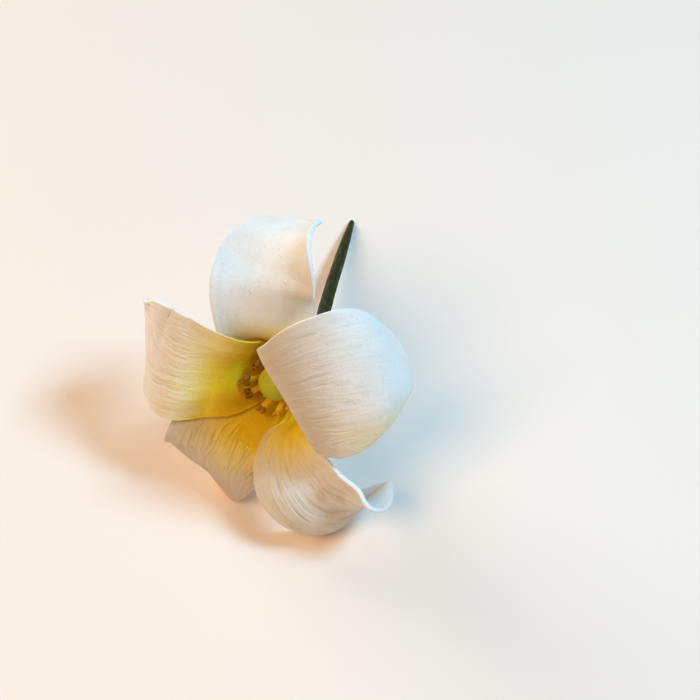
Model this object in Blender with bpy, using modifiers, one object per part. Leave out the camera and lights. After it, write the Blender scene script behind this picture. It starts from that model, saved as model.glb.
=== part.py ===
"""Pua kenikeni flower: five moulded foam petals, a bead, stamens, a calyx and a stem.

The flower is modelled in its own frame, with its throat at the origin and its axis along +Z, and an
empty then leans it over, as it lies on a table. It rests on the edge of the lower left petal, the
belly of the bottom petal and the stem's tip. Units are metres; MM turns millimetres into them.
"""

import math

import bpy
import numpy as np
from mathutils import Matrix, Vector

MM = 0.001

# How the flower lies: its throat's height over the table, and where its axis points.
THROAT_HEIGHT = 24.0 * MM
AXIS_RISE = math.radians(33.6)
AXIS_TURN = math.radians(-113.4)

# The foam sheet that every petal is cut from, and what all five outlines have in common.
FOAM = 1.2 * MM
WIDEST_AT = 0.70
TIP_SHARE = 0.995
SIDE_BEND = 1.3
TUCK = 0.8 * MM
TUCK_ENDS = (0.35, 0.60)
LEAN_FROM = 0.45
NOTCH_AT = 0.84
NOTCH_SPREAD = 0.08
PETAL_ROWS = 23
PETAL_COLUMNS = 15

# Each petal has stations along its midrib, from foot to tip. A station gives the reach from the
# flower's axis, the rise along it and the drift to the side, in mm, then the roll about the midrib
# and the curl of its two sides, clockwise and counterclockwise seen from the front, in degrees.
# tuck says for the same two sides whether the foot lies inside (1) or outside (-1) its neighbour.
# lean widens the counterclockwise side toward the tip and narrows the other, and notch is a dent in
# the clockwise margin near the tip, as a share of that side's width.
PETALS = {
    "petal_top": {
        "azimuth": 88,
        "half_width": 11.7 * MM,
        "foot": 0.45,
        "taper": 0.8,
        "lean": 0.25,
        "tuck": (-1, -1),
        "stations": [
            (6.0, -16.0, 0.0, 0, 50, 50),
            (10.3, -5.0, 0.8, 0, 45, 45),
            (14.5, 1.5, 0.5, 22, 0, 32),
            (23.0, 5.5, -1.0, 18, -22, 22),
            (28.5, 3.8, -2.5, 0, -15, 22),
            (34.2, 1.0, -5.7, -25, 2, 26),
            (38.2, -2.8, -10.3, -50, 26, 32),
        ],
    },
    "petal_left": {
        "azimuth": 165,
        "half_width": 13.0 * MM,
        "foot": 0.33,
        "taper": 0.8,
        "lean": 0.1,
        "tuck": (1, 1),
        "stations": [
            (4.5, -16.0, 0.0, 0, 50, 50),
            (8.8, -5.0, 0.0, 0, 50, 50),
            (11.7, 3.0, -1.0, -14, 38, 30),
            (18.4, 8.7, -0.7, -2, 15, 0),
            (25.5, 6.4, -2.0, -2, 3, -20),
            (31.0, 1.3, -5.5, -12, 0, -36),
            (34.0, -1.9, -9.2, -30, 0, -55),
        ],
    },
    "petal_lower_left": {
        "azimuth": 242,
        "half_width": 13.8 * MM,
        "foot": 0.3,
        "taper": 0.8,
        "lean": -0.4,
        "notch": 0.43,
        "tuck": (-1, -1),
        "stations": [
            (6.0, -16.0, 0.0, 0, 50, 50),
            (10.3, -5.0, 0.0, 0, 35, 35),
            (14.0, 1.5, -1.5, -3, 5, 5),
            (17.2, 4.5, -0.3, -7, -22, -22),
            (21.7, 4.6, 1.0, 8, -20, -55),
            (28.0, 0.8, 4.8, 20, -20, 10),
        ],
    },
    "petal_bottom": {
        "azimuth": 312,
        "half_width": 12.7 * MM,
        "foot": 0.34,
        "taper": 2.8,
        "lean": 0.17,
        "tuck": (1, -1),
        "stations": [
            (5.8, -16.0, 0.0, 0, 50, 45),
            (9.8, -5.0, 0.0, 5, 55, 40),
            (11.5, 1.3, -3.6, -19, -6, 51),
            (17.8, 8.0, -5.4, -25, -67, 50),
            (26.0, 9.4, -5.8, -17, -99, 56),
            (32.6, 3.9, -2.8, -12, -80, 64),
            (33.5, -5.0, 6.0, 4, -54, 54),
        ],
    },
    "petal_right": {
        "azimuth": 19,
        "half_width": 16.4 * MM,
        "foot": 0.25,
        "taper": 2.6,
        "lean": 0.17,
        "tuck": (1, 1),
        "stations": [
            (4.5, -16.0, 0.0, 0, 50, 50),
            (8.8, -5.0, 0.0, 0, 55, 55),
            (8.9, 5.3, 0.5, 2, 18, 8),
            (10.8, 14.2, -1.4, 14, -6, -15),
            (19.6, 15.2, -2.3, 12, -14, -12),
            (29.8, 10.7, -4.4, 7, -41, -22),
            (33.6, 1.1, -6.3, 14, -27, 5),
        ],
    },
}

# The plug inside the petals' feet: its top is the throat's floor.
CORE_TOP = -12.6 * MM
CORE_BOTTOM = -18.0 * MM
CORE_RADIUS = 3.1 * MM
CORE_TOP_RADIUS = 3.7 * MM
CORE_EDGE = 0.8 * MM

# The bead and its style.
GAP = 0.3 * MM
BEAD_CENTRE = -5.0 * MM
BEAD_RADIUS = 4.1 * MM
STYLE_RADIUS = 1.1 * MM
TURNED_STEPS = 24

# The stamens: a collar round the style, and eleven flat filaments with two-lobed anthers. The ones
# on the side that hangs lowest reach furthest out.
COLLAR_HEIGHT = -11.4 * MM
COLLAR_RADIUS = 2.4 * MM
COLLAR_THICKNESS = 1.8 * MM
STAMENS = 11
STAMEN_START = 10.0
RING_RADIUS = 6.1 * MM
RING_HEIGHT = -4.2 * MM
RING_DROOP = 0.9 * MM
DROOP_TOWARD = 235.0
FILAMENT_WIDTH = 1.2 * MM
FILAMENT_DEPTH = 0.7 * MM
FILAMENT_SIDES = 6
FILAMENT_RINGS = 6
LOBE = (0.85 * MM, 0.75 * MM, 1.05 * MM)
LOBE_SPREAD = 0.6 * MM

# The calyx: a cup with five small lobes, open at the bottom for the stem.
CALYX_WALL = 1.0 * MM
CALYX_LOBES = 5
CALYX_LOBE_AZIMUTH = 50.0
CALYX_VALLEY = 0.62
CALYX_COLUMNS = 50
CALYX_ROWS = 9
CALYX_PROFILE = [(2.8, -21.6), (5.6, -20.9), (7.6, -18.8), (8.5, -16.0), (9.7, -13.0), (10.6, -11.0), (11.6, -9.0)]

# The stem: it leaves the core along the axis and bends down to its tip on the table. The tip's
# place is given from the point of the table under the throat. The stops count the points of its
# route from 0 to 3, and each has a radius in mm; the last ones round the tip off.
STEM_TOP = CORE_BOTTOM - GAP
STEM_STRAIGHT = -26.0 * MM
STEM_TIP = Vector((18.9, 76.8, 0.72)) * MM
STEM_ARCH = 1.5 * MM
STEM_POINTS = 26
STEM_STOPS = [0.0, 2.0, 2.45, 2.75, 2.965, 2.985, 3.0]
STEM_RADII = [1.80, 1.65, 1.50, 1.20, 0.75, 0.70, 0.45]
STEM_BEVEL_RESOLUTION = 3


def clear_scene():
    """Removes what the startup scene holds."""
    for obj in list(bpy.data.objects):
        bpy.data.objects.remove(obj, do_unlink=True)


def new_collection(name):
    """A collection linked under the scene."""
    collection = bpy.data.collections.new(name)
    bpy.context.scene.collection.children.link(collection)
    return collection


def make_material(name, colour, roughness):
    """A Principled material of one colour."""
    material = bpy.data.materials.new(name)
    material.use_nodes = True
    shader = material.node_tree.nodes["Principled BSDF"]
    shader.inputs["Base Color"].default_value = (*colour, 1.0)
    shader.inputs["Roughness"].default_value = roughness
    return material


def smooth_through(rows, t):
    """A smooth curve through the rows, read at t, which counts rows from 0 (a Catmull-Rom spline)."""
    rows = np.asarray(rows, float)
    last = len(rows) - 1
    padded = np.vstack([2 * rows[0] - rows[1], rows, 2 * rows[-1] - rows[-2]])
    i = np.clip(np.floor(t).astype(int), 0, last - 1)
    f = (t - i)[:, None]
    a, b, c, d = padded[i], padded[i + 1], padded[i + 2], padded[i + 3]
    return 0.5 * (2 * b + (c - a) * f + (2 * a - 5 * b + 4 * c - d) * f**2 + (3 * b - a - 3 * c + d) * f**3)


def ease(x, start, end):
    """0 before start, 1 after end, and an S-shaped way between them."""
    t = np.clip((x - start) / (end - start), 0.0, 1.0)
    return t * t * (3 - 2 * t)


def unit(vectors):
    """Vectors along the last axis, scaled to length 1."""
    return vectors / np.linalg.norm(vectors, axis=-1, keepdims=True)


def petal_width(u, foot, taper):
    """Half the flat petal's width at each share u of its length, as a share of the widest."""
    rising = foot + (1 - foot) * np.sin(np.pi / 2 * np.clip(u / WIDEST_AT, 0, 1)) ** taper
    past = np.clip((u - WIDEST_AT) / (1 - WIDEST_AT), 0, 1)
    return np.where(u < WIDEST_AT, rising, (1 - past**2) ** 0.72)


def midrib(petal, u):
    """Points, forward directions and station values at the shares u of the midrib's length."""
    azimuth = math.radians(petal["azimuth"])
    outward = np.array([math.cos(azimuth), math.sin(azimuth), 0.0])
    sideways = np.array([-math.sin(azimuth), math.cos(azimuth), 0.0])
    upward = np.array([0.0, 0.0, 1.0])
    places = np.stack([outward, upward, sideways])
    stations = petal["stations"]
    fine = np.linspace(0, len(stations) - 1, 400)
    curve = smooth_through(stations, fine)[:, :3] @ places * MM
    length = np.concatenate([[0.0], np.cumsum(np.linalg.norm(np.diff(curve, axis=0), axis=1))])
    values = smooth_through(stations, np.interp(u * length[-1], length, fine))
    slope = np.gradient(curve, length, axis=0)
    forward = unit(np.stack([np.interp(u * length[-1], length, slope[:, k]) for k in range(3)], 1))
    return values[:, :3] @ places * MM, forward, values[:, 3:], sideways


def petal_surface(petal, u, v):
    """The middle surface of a petal's sheet, for shares u along it and v across it, from -1 to 1.

    Across the midrib the sheet bends into a curve whose slope is the curl times |v| to the power
    SIDE_BEND, so the bend is gentle at the midrib and tight at the margin.
    """
    centre, forward, values, sideways = midrib(petal, u)
    across = unit(sideways - (forward @ sideways)[:, None] * forward)
    inward = np.cross(forward, across)
    roll = np.radians(values[:, :1])
    across, inward = (
        across * np.cos(roll) + inward * np.sin(roll),
        inward * np.cos(roll) - across * np.sin(roll),
    )
    side = np.sign(v)[None, :]
    span = np.abs(v)[None, :]
    curl = np.radians(np.where(side < 0, values[:, 1:2], values[:, 2:3]))
    steps = (np.arange(24) + 0.5) / 24
    slope = curl[..., None] * (span[..., None] * steps) ** SIDE_BEND
    out = side * span * np.cos(slope).mean(-1)
    rise = span * np.sin(slope).mean(-1)
    width = petal["half_width"] * petal_width(u, petal["foot"], petal["taper"])[:, None]
    width = width * (1 + side * petal["lean"] * ease(u, LEAN_FROM, 1.0)[:, None])
    dent = petal.get("notch", 0.0) * np.exp(-(((u - NOTCH_AT) / NOTCH_SPREAD) ** 2))
    width = width * (1 - np.where(side < 0, dent[:, None], 0.0))
    clockwise, counterclockwise = petal["tuck"]
    layer = np.where(side < 0, clockwise, counterclockwise) * ease(span, 0.1, 0.8)
    lift = width * rise + TUCK * (1 - ease(u, *TUCK_ENDS))[:, None] * layer
    return centre[:, None] + across[:, None] * (width * out)[..., None] + inward[:, None] * lift[..., None]


def grid_triangles(rows, columns):
    """Triangle faces over a grid of points."""
    i, j = np.meshgrid(np.arange(rows - 1), np.arange(columns - 1), indexing="ij")
    a = (i * columns + j).ravel()
    b, c, d = a + columns, a + columns + 1, a + 1
    return np.concatenate([np.stack([a, b, c], 1), np.stack([a, c, d], 1)])


def mesh_object(name, points, faces, material, collection, parent=None):
    """An object from points and faces, shaded smooth."""
    mesh = bpy.data.meshes.new(name)
    mesh.from_pydata(np.asarray(points, float).tolist(), [], [list(map(int, face)) for face in faces])
    mesh.materials.append(material)
    mesh.shade_smooth()
    obj = bpy.data.objects.new(name, mesh)
    collection.objects.link(obj)
    obj.parent = parent
    return obj


def thicken(obj, thickness):
    """Gives an open sheet its wall, half to each side."""
    wall = obj.modifiers.new("wall", "SOLIDIFY")
    wall.thickness = thickness
    wall.offset = 0.0


def make_petal(name, petal, material, collection, parent):
    """One petal: a bent sheet lofted over its outline, with rows closer together near the tip."""
    share = np.linspace(0, 1, PETAL_ROWS)
    u = TIP_SHARE * (1 - (1 - share) ** 1.25)
    v = np.linspace(-1, 1, PETAL_COLUMNS)
    points = petal_surface(petal, u, v).reshape(-1, 3)
    obj = mesh_object(name, points, grid_triangles(PETAL_ROWS, PETAL_COLUMNS), material, collection, parent)
    thicken(obj, FOAM)
    return obj


def turned(name, profile, material, collection, parent):
    """A solid turned about +Z from a profile that runs down its outer side, axis to axis."""
    mesh = bpy.data.meshes.new(name)
    points = [(radius, 0.0, height) for radius, height in profile]
    mesh.from_pydata(points, [(i, i + 1) for i in range(len(points) - 1)], [])
    mesh.materials.append(material)
    obj = bpy.data.objects.new(name, mesh)
    collection.objects.link(obj)
    obj.parent = parent
    spin = obj.modifiers.new("turn", "SCREW")
    spin.axis = "Z"
    spin.steps = TURNED_STEPS
    spin.render_steps = TURNED_STEPS
    spin.use_merge_vertices = True
    spin.merge_threshold = 0.00001
    spin.use_smooth_shade = True
    return obj


def arc(centre, radius, start, end, count):
    """Points (radius, height) on an arc about (centre radius, centre height), angles in degrees."""
    angles = np.radians(np.linspace(start, end, count))
    return [(centre[0] + radius * math.cos(a), centre[1] + radius * math.sin(a)) for a in angles]


def core_profile():
    """A plug that widens upward with the petals' feet, with rounded rims."""
    top = arc((CORE_TOP_RADIUS - CORE_EDGE, CORE_TOP - CORE_EDGE), CORE_EDGE, 90, 0, 5)
    bottom = arc((CORE_RADIUS - CORE_EDGE, CORE_BOTTOM + CORE_EDGE), CORE_EDGE, 0, -90, 5)
    return [(0.0, CORE_TOP)] + top + bottom + [(0.0, CORE_BOTTOM)]


def pistil_profile():
    """A bead that runs into a short style, which stands on the core."""
    foot = CORE_TOP + GAP
    meet = math.degrees(math.acos(STYLE_RADIUS / BEAD_RADIUS))
    bead = arc((0.0, BEAD_CENTRE), BEAD_RADIUS, 90, -meet, 15)
    bead[0] = (0.0, BEAD_CENTRE + BEAD_RADIUS)
    return bead + [(STYLE_RADIUS, foot), (0.0, foot)]


def lofted_tube(name, path, widths, depths, sides, material, collection, parent):
    """A closed tube of elliptical sections along a path in the plane through +Z, capped at both ends."""
    along = unit(np.gradient(path, axis=0))
    flat = unit(np.cross(along, (0.0, 0.0, 1.0)))
    thick = np.cross(along, flat)
    angles = np.arange(sides) * 2 * np.pi / sides
    ring = (
        np.cos(angles)[None, :, None] * flat[:, None] * widths[:, None, None]
        + np.sin(angles)[None, :, None] * thick[:, None] * depths[:, None, None]
    )
    points = (path[:, None] + ring / 2).reshape(-1, 3)
    faces = []
    for i in range(len(path) - 1):
        for j in range(sides):
            k = (j + 1) % sides
            faces.append((i * sides + j, i * sides + k, (i + 1) * sides + k, (i + 1) * sides + j))
    faces.append(tuple(reversed(range(sides))))
    faces.append(tuple(range((len(path) - 1) * sides, len(path) * sides)))
    return mesh_object(name, points, faces, material, collection, parent)


def stamen_end(azimuth):
    """Reach and height of an anther at this azimuth, in degrees."""
    low = math.cos(math.radians(azimuth - DROOP_TOWARD))
    return RING_RADIUS + RING_DROOP * low, RING_HEIGHT + RING_DROOP * low


def make_stamen(index, material, pieces):
    """One filament from inside the collar out to its anther, and the anther's two lobes."""
    azimuth = STAMEN_START + index * 360 / STAMENS
    turn = math.radians(azimuth)
    outward = np.array([math.cos(turn), math.sin(turn), 0.0])
    sideways = np.array([-math.sin(turn), math.cos(turn), 0.0])
    upward = np.array([0.0, 0.0, 1.0])
    reach, height = stamen_end(azimuth)
    route = [
        (COLLAR_RADIUS, COLLAR_HEIGHT),
        (4.0 * MM, -9.8 * MM),
        (5.2 * MM, -7.2 * MM),
        (reach, height),
    ]
    along = smooth_through(route, np.linspace(0, len(route) - 1, FILAMENT_RINGS))
    path = along[:, :1] * outward + along[:, 1:] * upward
    widths = np.full(FILAMENT_RINGS, FILAMENT_WIDTH)
    depths = np.full(FILAMENT_RINGS, FILAMENT_DEPTH)
    lofted_tube(f"filament_{index}", path, widths, depths, FILAMENT_SIDES, material, pieces, None)
    for side in (-1, 1):
        centre = reach * outward + height * upward + side * LOBE_SPREAD * sideways
        bpy.ops.mesh.primitive_ico_sphere_add(subdivisions=1, radius=1.0)
        lobe = bpy.context.object
        lobe.name = f"anther_{index}_{'left' if side < 0 else 'right'}"
        axes = Matrix((outward * LOBE[0], sideways * LOBE[1], upward * LOBE[2])).transposed()
        lobe.data.transform(Matrix.Translation(centre) @ axes.to_4x4())
        for collection in list(lobe.users_collection):
            collection.objects.unlink(lobe)
        pieces.objects.link(lobe)


def make_stamens(material, collection, parent):
    """The collar with every filament and anther joined to it, one solid."""
    bpy.ops.mesh.primitive_torus_add(
        major_radius=COLLAR_RADIUS,
        minor_radius=COLLAR_THICKNESS / 2,
        major_segments=22,
        minor_segments=8,
        location=(0, 0, COLLAR_HEIGHT),
    )
    collar = bpy.context.object
    collar.name = "stamens"
    collar.data.transform(collar.matrix_basis)
    collar.matrix_basis = Matrix.Identity(4)
    collar.data.materials.append(material)
    for other in list(collar.users_collection):
        other.objects.unlink(collar)
    collection.objects.link(collar)
    pieces = new_collection("stamen_pieces")
    for index in range(STAMENS):
        make_stamen(index, material, pieces)
    join = collar.modifiers.new("join", "BOOLEAN")
    join.operation = "UNION"
    join.operand_type = "COLLECTION"
    join.solver = "MANIFOLD"
    join.collection = pieces
    bpy.context.view_layer.objects.active = collar
    bpy.ops.object.modifier_apply(modifier="join")
    for obj in list(pieces.objects):
        bpy.data.objects.remove(obj, do_unlink=True)
    bpy.data.collections.remove(pieces)
    collar.data.shade_smooth()
    collar.parent = parent
    return collar


def make_calyx(material, collection, parent):
    """A cup lofted from the stem's hole to a rim of five pointed lobes, then given its wall."""
    profile = np.array(CALYX_PROFILE) * MM
    azimuth = np.linspace(0, 2 * np.pi, CALYX_COLUMNS, endpoint=False)
    lobe = 0.5 + 0.5 * np.cos(CALYX_LOBES * (azimuth - math.radians(CALYX_LOBE_AZIMUTH)))
    top = CALYX_VALLEY + (1 - CALYX_VALLEY) * lobe**1.5
    points = []
    for share in np.linspace(0, 1, CALYX_ROWS):
        ring = smooth_through(profile, share * top * (len(profile) - 1))
        x = ring[:, 0] * np.cos(azimuth)
        y = ring[:, 0] * np.sin(azimuth)
        points.append(np.stack([x, y, ring[:, 1]], 1))
    faces = []
    for i in range(CALYX_ROWS - 1):
        for j in range(CALYX_COLUMNS):
            a = i * CALYX_COLUMNS + j
            b = i * CALYX_COLUMNS + (j + 1) % CALYX_COLUMNS
            faces.append((a, b, b + CALYX_COLUMNS, a + CALYX_COLUMNS))
    obj = mesh_object("calyx", np.concatenate(points), faces, material, collection, parent)
    thicken(obj, CALYX_WALL)
    return obj


def make_stem(lean, material, collection, parent):
    """A tapered round tube that leaves the core along the axis and comes down to its tip."""
    start = lean @ Vector((0, 0, STEM_TOP))
    straight = lean @ Vector((0, 0, STEM_STRAIGHT))
    middle = straight.lerp(STEM_TIP, 0.45) + Vector((0, 0, STEM_ARCH))
    route = [start, straight, middle, STEM_TIP]
    t = np.concatenate([np.linspace(0, STEM_STOPS[-3], STEM_POINTS), STEM_STOPS[-2:]])
    points = smooth_through([tuple(p) for p in route], t)
    radii = np.interp(t, STEM_STOPS, STEM_RADII) * MM
    curve = bpy.data.curves.new("stem", "CURVE")
    curve.dimensions = "3D"
    curve.bevel_depth = 1.0
    curve.bevel_resolution = STEM_BEVEL_RESOLUTION
    curve.use_fill_caps = True
    spline = curve.splines.new("POLY")
    spline.points.add(len(points) - 1)
    for point, place, radius in zip(spline.points, points, radii):
        point.co = (*place, 1.0)
        point.radius = radius
    curve.materials.append(material)
    obj = bpy.data.objects.new("stem", curve)
    collection.objects.link(obj)
    obj.parent = parent
    return obj


def lean_matrix():
    """Turns the flower's frame so that its axis rises AXIS_RISE toward AXIS_TURN, and lifts the throat."""
    axis = Vector((
        math.cos(AXIS_RISE) * math.cos(AXIS_TURN),
        math.cos(AXIS_RISE) * math.sin(AXIS_TURN),
        math.sin(AXIS_RISE),
    ))
    right = Vector((1, 0, 0))
    first = (right - right.dot(axis) * axis).normalized()
    second = axis.cross(first)
    turn = Matrix((first, second, axis)).transposed().to_4x4()
    return Matrix.Translation((0, 0, THROAT_HEIGHT)) @ turn


def world_points(obj, graph):
    """The evaluated object's points in the world."""
    shape = obj.evaluated_get(graph)
    mesh = shape.to_mesh()
    points = [obj.matrix_world @ vertex.co for vertex in mesh.vertices]
    shape.to_mesh_clear()
    return np.array(points)


def stand_on_origin(root, objects):
    """Moves the whole part so that its box's bottom centre is the origin."""
    graph = bpy.context.evaluated_depsgraph_get()
    points = np.concatenate([world_points(obj, graph) for obj in objects])
    low, high = points.min(axis=0), points.max(axis=0)
    root.location = (-(low[0] + high[0]) / 2, -(low[1] + high[1]) / 2, -low[2])
    bpy.context.view_layer.update()


def main():
    clear_scene()
    parts = new_collection("pua_kenikeni_flower")
    petal_foam = make_material("petal_foam", (0.82, 0.72, 0.58), 0.75)
    throat_foam = make_material("throat_foam", (0.62, 0.36, 0.03), 0.75)
    bead_green = make_material("bead_green", (0.30, 0.36, 0.04), 0.35)
    stamen_gold = make_material("stamen_gold", (0.45, 0.22, 0.04), 0.75)
    stem_green = make_material("stem_green", (0.03, 0.05, 0.015), 0.6)

    root = bpy.data.objects.new("flower_place", None)
    flower = bpy.data.objects.new("flower_lean", None)
    parts.objects.link(root)
    parts.objects.link(flower)
    lean = lean_matrix()
    flower.parent = root
    flower.matrix_basis = lean

    objects = [make_petal(name, petal, petal_foam, parts, flower) for name, petal in PETALS.items()]
    objects.append(turned("throat_core", core_profile(), throat_foam, parts, flower))
    objects.append(turned("pistil", pistil_profile(), bead_green, parts, flower))
    objects.append(make_stamens(stamen_gold, parts, flower))
    objects.append(make_calyx(stem_green, parts, flower))
    objects.append(make_stem(lean, stem_green, parts, root))
    bpy.context.view_layer.update()
    stand_on_origin(root, objects)


main()
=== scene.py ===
# %% [markdown]
# # A foam pua kenikeni flower
# The real flower is made by hand from craft foam. Five petals are cut from a thin sheet, pressed
# over a warm mould that leaves fine veins in them, and glued round a plug with a bead and a ring of
# stamens on it. A taped cup and a taped wire stem close it behind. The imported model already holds
# every piece as a plain solid in its real place. This lesson makes a finer surface for each piece,
# in the same place, and then its finish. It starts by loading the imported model.

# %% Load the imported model
import math

import bpy
import numpy as np
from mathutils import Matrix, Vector


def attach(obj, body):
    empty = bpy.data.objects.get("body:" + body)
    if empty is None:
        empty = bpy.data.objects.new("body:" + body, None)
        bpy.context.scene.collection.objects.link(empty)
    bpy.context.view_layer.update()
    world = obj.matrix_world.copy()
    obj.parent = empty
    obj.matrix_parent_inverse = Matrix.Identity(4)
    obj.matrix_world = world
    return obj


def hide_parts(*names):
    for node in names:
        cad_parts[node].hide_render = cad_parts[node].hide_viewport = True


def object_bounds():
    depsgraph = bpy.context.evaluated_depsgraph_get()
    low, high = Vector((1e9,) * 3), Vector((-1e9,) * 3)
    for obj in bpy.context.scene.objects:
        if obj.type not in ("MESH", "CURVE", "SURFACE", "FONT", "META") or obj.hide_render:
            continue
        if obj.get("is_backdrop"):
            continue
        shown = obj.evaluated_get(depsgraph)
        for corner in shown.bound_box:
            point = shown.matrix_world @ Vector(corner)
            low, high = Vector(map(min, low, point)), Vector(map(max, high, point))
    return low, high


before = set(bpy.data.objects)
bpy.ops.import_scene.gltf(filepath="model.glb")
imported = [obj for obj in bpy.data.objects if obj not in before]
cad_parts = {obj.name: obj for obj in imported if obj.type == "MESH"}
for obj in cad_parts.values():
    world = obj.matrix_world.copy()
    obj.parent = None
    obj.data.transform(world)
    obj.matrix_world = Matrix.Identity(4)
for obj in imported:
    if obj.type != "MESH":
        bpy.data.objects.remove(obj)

MM = 0.001
cad_low, cad_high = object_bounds()
print("CAD box, mm:", [round((high - low) / MM, 1) for low, high in zip(cad_low, cad_high)])

# %% [markdown]
# ## The flower's own frame
# The flower lies leaned over, but its shapes are simplest with the throat at the origin and the
# flower's axis along Z. Every surface is worked out in that frame and turned once at the end. The
# axis rises 33.6 degrees from the floor and points to the front left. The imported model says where
# the throat is: its bead's top lies on the axis at a known height.

# %% Find the throat
AXIS_RISE = math.radians(33.6)
AXIS_TURN = math.radians(-113.4)
BEAD_CENTRE = -5.0 * MM
BEAD_RADIUS = 4.1 * MM


def unit(vectors):
    """Vectors along the last axis, scaled to length 1."""
    return vectors / np.maximum(np.linalg.norm(vectors, axis=-1, keepdims=True), 1e-12)


axis = np.array([
    math.cos(AXIS_RISE) * math.cos(AXIS_TURN),
    math.cos(AXIS_RISE) * math.sin(AXIS_TURN),
    math.sin(AXIS_RISE),
])
first = unit(np.array([1.0, 0.0, 0.0]) - axis[0] * axis)
TURN = np.stack([first, np.cross(axis, first), axis])

pistil_points = np.array([vertex.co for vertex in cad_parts["pistil"].data.vertices])
bead_top = pistil_points[np.argmax(pistil_points @ axis)]
THROAT = bead_top - axis * (BEAD_CENTRE + BEAD_RADIUS)


def lay_down(points):
    """Points of the flower's frame, turned and moved to where the flower lies."""
    return points @ TURN + THROAT


print("throat over the floor, mm:", round(THROAT[2] / MM, 2))

# %% [markdown]
# ## The camera
# The photo looks down on the flower at about 50 degrees. A camera 330 mm away with a view of 30
# degrees gives a picture like it, centred on a point of the floor to the right of the flower and
# behind it. The camera comes first, so that each piece can be tried in the photo's view.

# %% Place the camera
CAMERA_RISE = math.radians(50.0)
CAMERA_DISTANCE = 330 * MM
CAMERA_ANGLE = math.radians(30.0)
LOOK_RIGHT = 18.3 * MM
LOOK_BACK = 31.2 * MM


def new_object(name, data):
    """An object of this data, put in the scene."""
    made = bpy.data.objects.new(name, data)
    bpy.context.scene.collection.objects.link(made)
    return made


look_at = Vector((THROAT[0] + LOOK_RIGHT, THROAT[1] + LOOK_BACK, 0.0))
away = Vector((0.0, -math.cos(CAMERA_RISE), math.sin(CAMERA_RISE)))
camera = new_object("camera", bpy.data.cameras.new("camera"))
camera.location = look_at + away * CAMERA_DISTANCE
camera.rotation_euler = (-away).to_track_quat("-Z", "Y").to_euler()
camera.data.angle = CAMERA_ANGLE
camera.data.clip_start = 10 * MM
bpy.context.scene.camera = camera
print("lens, mm:", round(camera.data.lens, 1))

# %% [markdown]
# ## From grids to meshes
# Each surface is a grid of points, worked out by a formula on whole arrays. Three ways to close a
# grid are enough. A ring closes on itself both ways, as the collar and the cup do. A tube closes one
# way and ends in two poles: that makes the plug, the bead, the stem, a filament and an anther. A
# sheet is a front and a back that share their rim and one pole at the tip: that is a petal.

# %% Helpers for meshes


def torus_faces(rows, columns):
    """A grid that closes on itself both ways: its points, the ones beside them, and its faces."""
    grid = np.arange(rows * columns).reshape(rows, columns)
    beside, above = np.roll(grid, -1, axis=1), np.roll(grid, -1, axis=0)
    return grid, beside, np.stack([grid, beside, np.roll(above, -1, axis=1), above], -1).reshape(-1, 4)


def tube_faces(rows, sides, copies=1):
    """Faces of closed tubes: each has its rings of points first, then its two poles."""
    ring, beside, quads = torus_faces(rows, sides)
    quads = quads[: (rows - 1) * sides]
    start, end = rows * sides, rows * sides + 1
    foot = np.stack([beside[0], ring[0], np.full(sides, start)], 1)
    head = np.stack([ring[-1], beside[-1], np.full(sides, end)], 1)
    shift = (np.arange(copies) * (rows * sides + 2))[:, None, None]
    triangles = np.concatenate([foot, head])
    return (quads[None] + shift).reshape(-1, 4), (triangles[None] + shift).reshape(-1, 3)


def tube_points(rings, poles):
    """Points of closed tubes in tube_faces' order: rings (copies, rows, sides, 3), poles (copies, 2, 3)."""
    copies = len(rings)
    return np.concatenate([rings.reshape(copies, -1, 3), poles], axis=1).reshape(-1, 3)


def new_piece(name, nodes, points, face_sets, material, attributes):
    """A smooth mesh piece that rides with the part and stands for some of its nodes."""
    mesh = bpy.data.meshes.new(name)
    corners = np.concatenate([faces.ravel() for faces in face_sets])
    counts = np.concatenate([np.full(len(faces), faces.shape[1]) for faces in face_sets])
    mesh.vertices.add(len(points))
    mesh.vertices.foreach_set("co", points.astype(np.float32).ravel())
    mesh.loops.add(len(corners))
    mesh.loops.foreach_set("vertex_index", corners.astype(np.int32))
    mesh.polygons.add(len(counts))
    mesh.polygons.foreach_set("loop_start", (np.cumsum(counts) - counts).astype(np.int32))
    mesh.update(calc_edges=True)
    mesh.shade_smooth()
    for key, values in attributes.items():
        layer = mesh.attributes.new(key, "FLOAT", "POINT")
        layer.data.foreach_set("value", values.astype(np.float32).ravel())
    mesh.materials.append(material)
    piece = new_object(name, mesh)
    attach(piece, "root")
    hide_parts(*nodes)
    size = (points.max(0) - points.min(0)) / MM
    print(f"{name}: {int((counts - 2).sum())} triangles, {size.round(1)} mm")


print("a tube of 3 rings with 4 sides has", sum(map(len, tube_faces(3, 4))), "faces")

# %% [markdown]
# ## Smooth curves and smooth chance
# Two tools shape everything. The first is a smooth curve through a few stations, so that a petal's
# bend is told in six or seven of them. The second is smooth noise: seeded random values on whole
# numbers, with an eased way between them. Read with a long step one way and a short one the other,
# it gives the veins of a moulded petal, and read evenly it gives crumbs.

# %% Curves and noise
NOISE_SIZE = 64


def smooth_through(rows, t):
    """A Catmull-Rom curve through the rows, read at t, which counts rows from 0."""
    rows = np.asarray(rows, float)
    last = len(rows) - 1
    padded = np.vstack([2 * rows[0] - rows[1], rows, 2 * rows[-1] - rows[-2]])
    i = np.clip(np.floor(t).astype(int), 0, last - 1)
    f = (t - i)[..., None]
    a, b, c, d = padded[i], padded[i + 1], padded[i + 2], padded[i + 3]
    return 0.5 * (2 * b + (c - a) * f + (2 * a - 5 * b + 4 * c - d) * f**2 + (3 * b - a - 3 * c + d) * f**3)


def ease(x, start, end):
    """0 before start, 1 after end, and an S-shaped way between them."""
    t = np.clip((x - start) / (end - start), 0.0, 1.0)
    return t * t * (3 - 2 * t)


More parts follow.
